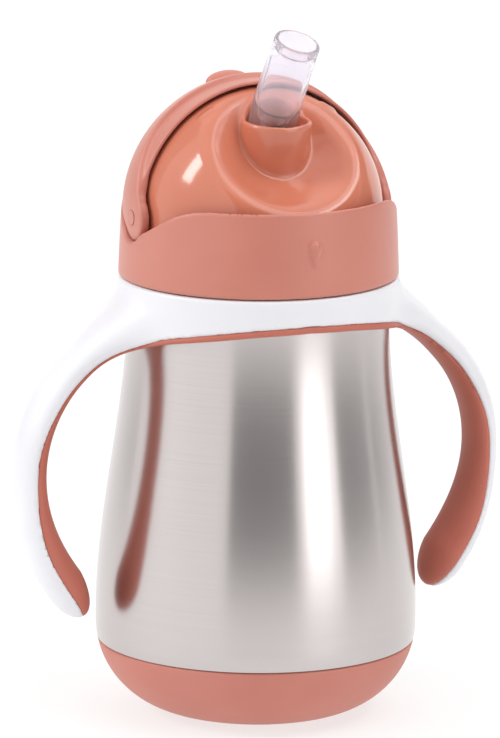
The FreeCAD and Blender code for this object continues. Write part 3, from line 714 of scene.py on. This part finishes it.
def build_body():
    """Steel skin from the plate's opening up the outside, over the neck and back down the inside."""
    neck_in = NECK_R - WALL
    profile = [(PLATE_R, BOOT_FLOOR), (15.5, BOOT_FLOOR)] + foot_points(STEEL_ROUND, BOOT_FLOOR, BOOT_TOP)
    profile += [(37.2, BOOT_TOP), (37.55, 17.15)] + foot_points(FOOT_ROUND, 17.45, FOOT_ROUND)
    profile += taper_points(BELLY_R, WAIST_R)
    profile += [(WAIST_R, 100.6)]
    profile += [(30.2 + 0.75 * math.cos(t), 101.65 + 0.75 * math.sin(t))
                for t in np.linspace(0.2, math.pi / 2, 6)]
    profile += [(28.2, SHOULDER_Z), (NECK_R, 102.6), (NECK_R, 111.1), (neck_in, 111.1),
                (neck_in, 101.8), (WAIST_R - WALL, 101.8)]
    profile += taper_points(BELLY_R - WALL, WAIST_R - WALL)[::-1]
    profile += [(37.4, 17.7), (35.3, 17.7)]
    profile += foot_points(STEEL_ROUND - WALL, BOOT_FLOOR + WALL, 17.0)[::-1]
    profile += [(PLATE_R, BOOT_FLOOR + WALL)]
    shell = turned("steel_body", profile, AROUND)
    ridge = field_mesh("neck_thread", neck_thread_field,
                       (-30.2, -30.2, 102.6), (30.2, 30.2, 111.4), 0.5)
    finish_piece(shell, "bottle", ["outer_shell"], STEEL)
    finish_piece(ridge, "bottle", [], STEEL)
    boot_outline = [(0, 0), (12.0, 0)] + foot_points(FOOT_ROUND, 0.0, 16.75, 30)
    boot_outline += [(37.55, 17.0), (37.2, BOOT_TOP), (35.9, BOOT_TOP)]
    boot_outline += foot_points(STEEL_ROUND, BOOT_FLOOR, BOOT_TOP)[::-1] + [(0, BOOT_FLOOR)]
    boot = turned("foot_boot", boot_outline, AROUND)
    finish_piece(boot, "bottle", ["base_boot"], BOOT)


def neck_thread_field(x, y, z):
    """Raised thread on the steel neck."""
    ridge = thread_ridge(x, y, z, 104.6, 109.4, 27.8, 29.2, 2.2, 1.0)
    return smooth_max(ridge, 27.6 - np.hypot(x, y), 0.3)


# ---------------------------------------------------------------- straw
STRAW_BEND = (-1.1, -10.2, 143.7)
STRAW_TIP = (1.9, -18.3, 163.5)
STRAW_LOW_R, STRAW_TOP_R = 5.85, 5.5  # radius low down and at the top
STRAW_BORE = 4.6


def straw_frames(start, bend, tip, distances):
    """Places and directions along a straw that bends gently once, at distances from its start."""
    start, bend, tip = Vector(start), Vector(bend), Vector(tip)
    into, out = (bend - start), (tip - bend)
    reach = 0.45 * min(into.length, out.length)
    first = into.length - reach
    result = []
    for distance in distances:
        if distance < first:
            result.append((start + into.normalized() * distance, into.normalized()))
        elif distance < first + 2 * reach:
            t = (distance - first) / (2 * reach)
            entry, leave = bend - into.normalized() * reach, bend + out.normalized() * reach
            place = entry * (1 - t) ** 2 + bend * (2 * t * (1 - t)) + leave * t ** 2
            way = (bend - entry) * (1 - t) + (leave - bend) * t
            result.append((place, way.normalized()))
        else:
            result.append((bend + out.normalized() * (distance - into.length), out.normalized()))
    return result


def swept(name, profile, start, bend, tip, segments=64):
    """Closed (distance, radius) outline carried round the straw's line."""
    frames = straw_frames(start, bend, tip, [d for d, _ in profile])
    points = []
    for (place, way), (_, radius) in zip(frames, profile):
        side = Vector((1, 0, 0)) - way * way.x
        side.normalize()
        other = way.cross(side)
        for k in range(segments):
            turn = 2 * math.pi * k / segments
            points.append(tuple(place + (side * math.cos(turn) + other * math.sin(turn)) * radius))
    faces = []
    rings = len(profile)
    for i in range(rings):
        j = (i + 1) % rings
        for k in range(segments):
            n = (k + 1) % segments
            faces.append((i * segments + k, i * segments + n, j * segments + n, j * segments + k))
    return new_mesh(name, points, faces)


def sleeve_point(distance):
    """Place on the sleeve's axis, at a distance from where it crosses the pivot's height."""
    return (0, SLEEVE_FOOT_Y - distance * math.sin(SLEEVE_TILT),
            PIVOT_Z + distance * math.cos(SLEEVE_TILT))


def build_straw():
    """Spout: rounded mouth, bore with a ledge and two soft steps, waist in the seat, flange, socket."""
    start = sleeve_point(SEAT_TOP)
    length = ((Vector(STRAW_BEND) - Vector(start)).length
              + (Vector(STRAW_TIP) - Vector(STRAW_BEND)).length)
    outside = [(-12.5, 4.6), (-2.9, 4.6), (-2.8, 5.9), (-2.4, 6.0), (-1.9, 6.0), (-1.6, 5.8), (-1.55, 4.0),
               (0.0, 4.0), (0.05, 5.1), (0.4, 5.45), (4.0, 5.6)]
    outside += [(d, STRAW_LOW_R - (STRAW_LOW_R - STRAW_TOP_R) * soft_step((d - 12) / (length - 12)))
                for d in np.linspace(9.0, length - 1.0, 24)]
    outside += [(length - 0.4, 5.46), (length - 0.1, 5.3), (length, 5.06), (length, 4.86),
                (length - 0.1, 4.64), (length - 0.4, 4.46)]
    inside = [(length - 2.4, 4.35), (length - 2.9, 4.05), (length - 3.2, 3.3), (length - 3.4, 3.1),
              (length - 3.9, 3.1), (length - 4.1, 3.3), (length - 4.5, 4.2), (length - 5.2, 4.45)]
    inside += [(d, STRAW_BORE) for d in np.linspace(length - 7.0, 19.5, 8)]
    inside += [(18.7, 4.5), (18.2, 4.2), (17.9, 3.8), (17.5, 3.5), (16.2, 3.3), (15.4, 3.1), (14.9, 2.7),
               (14.4, 2.4), (2.6, 2.3), (-6.4, 2.2), (-6.6, 3.0), (-12.5, 3.0)]
    straw = swept("spout_straw_soft", outside + inside, start, STRAW_BEND, STRAW_TIP)
    finish_piece(straw, "lid", ["spout_straw"], SILICONE)
    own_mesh(straw)


build_body()
build_handles()
build_lid()
build_straw()

# ---------------------------------------------------------------- carried-over CAD nodes
for name, mat in {
    "inner_liner": INNER_STEEL, "base_plate": INNER_STEEL, "vacuum_plug": SOLDER,
    "getter_pellet": SOLDER, "lid_gasket": SEAL, "vent_valve": SEAL, "dip_straw": CLEAR,
    "pivot_pin_left": MATTE, "pivot_pin_right": MATTE,
}.items():
    dress(frame["nodes"][name], mat)


# ---------------------------------------------------------------- stage
def add_floor():
    """White ground just under the cup, wide enough to fill the picture."""
    mesh = bpy.data.meshes.new("floor")
    half, level = 1.6, -0.0001
    corners = [(-half, -half, level), (half, -half, level), (half, half, level), (-half, half, level)]
    mesh.from_pydata(corners, [], [(0, 1, 2, 3)])
    floor = placed("floor", mesh)
    mat, tree, shader = material("floor", Roughness=0.9)
    shader.inputs["Base Color"].default_value = (0.28, 0.28, 0.28, 1)
    shader.inputs["Emission Color"].default_value = (1, 1, 1, 1)
    shader.inputs["Emission Strength"].default_value = 0.70
    dress(floor, mat)


def add_light(name, place, target, size, power, height):
    """Rectangular lamp that faces a target."""
    data = bpy.data.lights.new(name, "AREA")
    data.shape = "RECTANGLE"
    data.size = size
    data.size_y = height
    data.energy = power
    lamp = placed(name, data)
    lamp.location = place
    lamp.rotation_euler = (Vector(target) - Vector(place)).to_track_quat("-Z", "Y").to_euler()


CAMERA_AZIMUTH = math.radians(-22.0)
CAMERA_LIFT = math.radians(12.23)
CAMERA_ROLL = math.radians(0.5)
CAMERA_DISTANCE = 1.722
LOOK_AT = (0, 0, 0.080)


def toward(turn_deg, distance, height):
    """Place at a distance from the cup, turned to the right of the camera's direction."""
    turn = CAMERA_AZIMUTH + math.radians(turn_deg)
    return (distance * math.sin(turn), -distance * math.cos(turn), height)


def add_card(name, start_deg, end_deg, distance, low, high, grey):
    """Flat upright card that faces the cup, for its reflection in the steel."""
    a, b = toward(start_deg, distance, low), toward(end_deg, distance, low)
    mesh = bpy.data.meshes.new(name)
    mesh.from_pydata([a, b, (b[0], b[1], high), (a[0], a[1], high)], [], [(0, 1, 2, 3)])
    card = placed(name, mesh)
    mat, tree, shader = material(name, Roughness=1.0)
    shader.inputs["Base Color"].default_value = (grey, grey, grey, 1)
    dress(card, mat)
    card.visible_camera = False


def add_world(strength):
    """Even white surroundings."""
    world = bpy.data.worlds.new("studio")
    world.use_nodes = True
    back = world.node_tree.nodes["Background"]
    back.inputs["Color"].default_value = (1, 1, 1, 1)
    back.inputs["Strength"].default_value = strength
    bpy.context.scene.world = world


def add_camera():
    """Long lens from the place where the photograph was taken."""
    away = Vector((math.sin(CAMERA_AZIMUTH) * math.cos(CAMERA_LIFT),
                   -math.cos(CAMERA_AZIMUTH) * math.cos(CAMERA_LIFT), math.sin(CAMERA_LIFT)))
    right = Vector((math.cos(CAMERA_AZIMUTH), math.sin(CAMERA_AZIMUTH), 0))
    up = away.cross(right)
    tilted_right = right * math.cos(CAMERA_ROLL) + up * math.sin(CAMERA_ROLL)
    tilted_up = up * math.cos(CAMERA_ROLL) - right * math.sin(CAMERA_ROLL)
    data = bpy.data.cameras.new("camera")
    data.lens = 354.1
    data.sensor_width = 36.0
    data.shift_x = -0.0103
    data.shift_y = 0.0110
    data.clip_end = 20.0
    camera = placed("camera", data)
    turn = Matrix((tilted_right, tilted_up, away)).transposed().to_4x4()
    camera.matrix_world = Matrix.Translation(Vector(LOOK_AT) + away * CAMERA_DISTANCE) @ turn
    bpy.context.scene.camera = camera


add_camera()
add_floor()
add_world(1.07)
add_card("dark_card", -21, 31, 2.1, 0.0, 2.4, 0.06)
add_card("side_card", 66, 101, 1.3, 0.0, 1.4, 0.10)
add_card("far_card", 104, 132, 1.3, 0.0, 1.4, 0.10)
add_card("back_left_card", -150, -112, 1.3, 0.0, 1.4, 0.30)
add_light("bright_panel", toward(47, 1.9, 0.35), (0, 0, 0.1), 0.70, 2.0, 0.7)
add_light("soft_panel", toward(53, 2.0, 0.35), (0, 0, 0.1), 0.95, 1.6, 0.7)
add_light("window", toward(-80, 1.4, 1.03), (0, 0, 0.12), 0.34, 8.5, 0.66)
add_light("top_panel", toward(60, 0.7, 1.3), (0, 0, 0.1), 0.8, 3.5, 0.8)
add_light("right_fill", toward(85, 1.2, 1.3), (0, 0, 0.1), 0.8, 8, 0.8)
bpy.context.scene.view_settings.view_transform = "Standard"
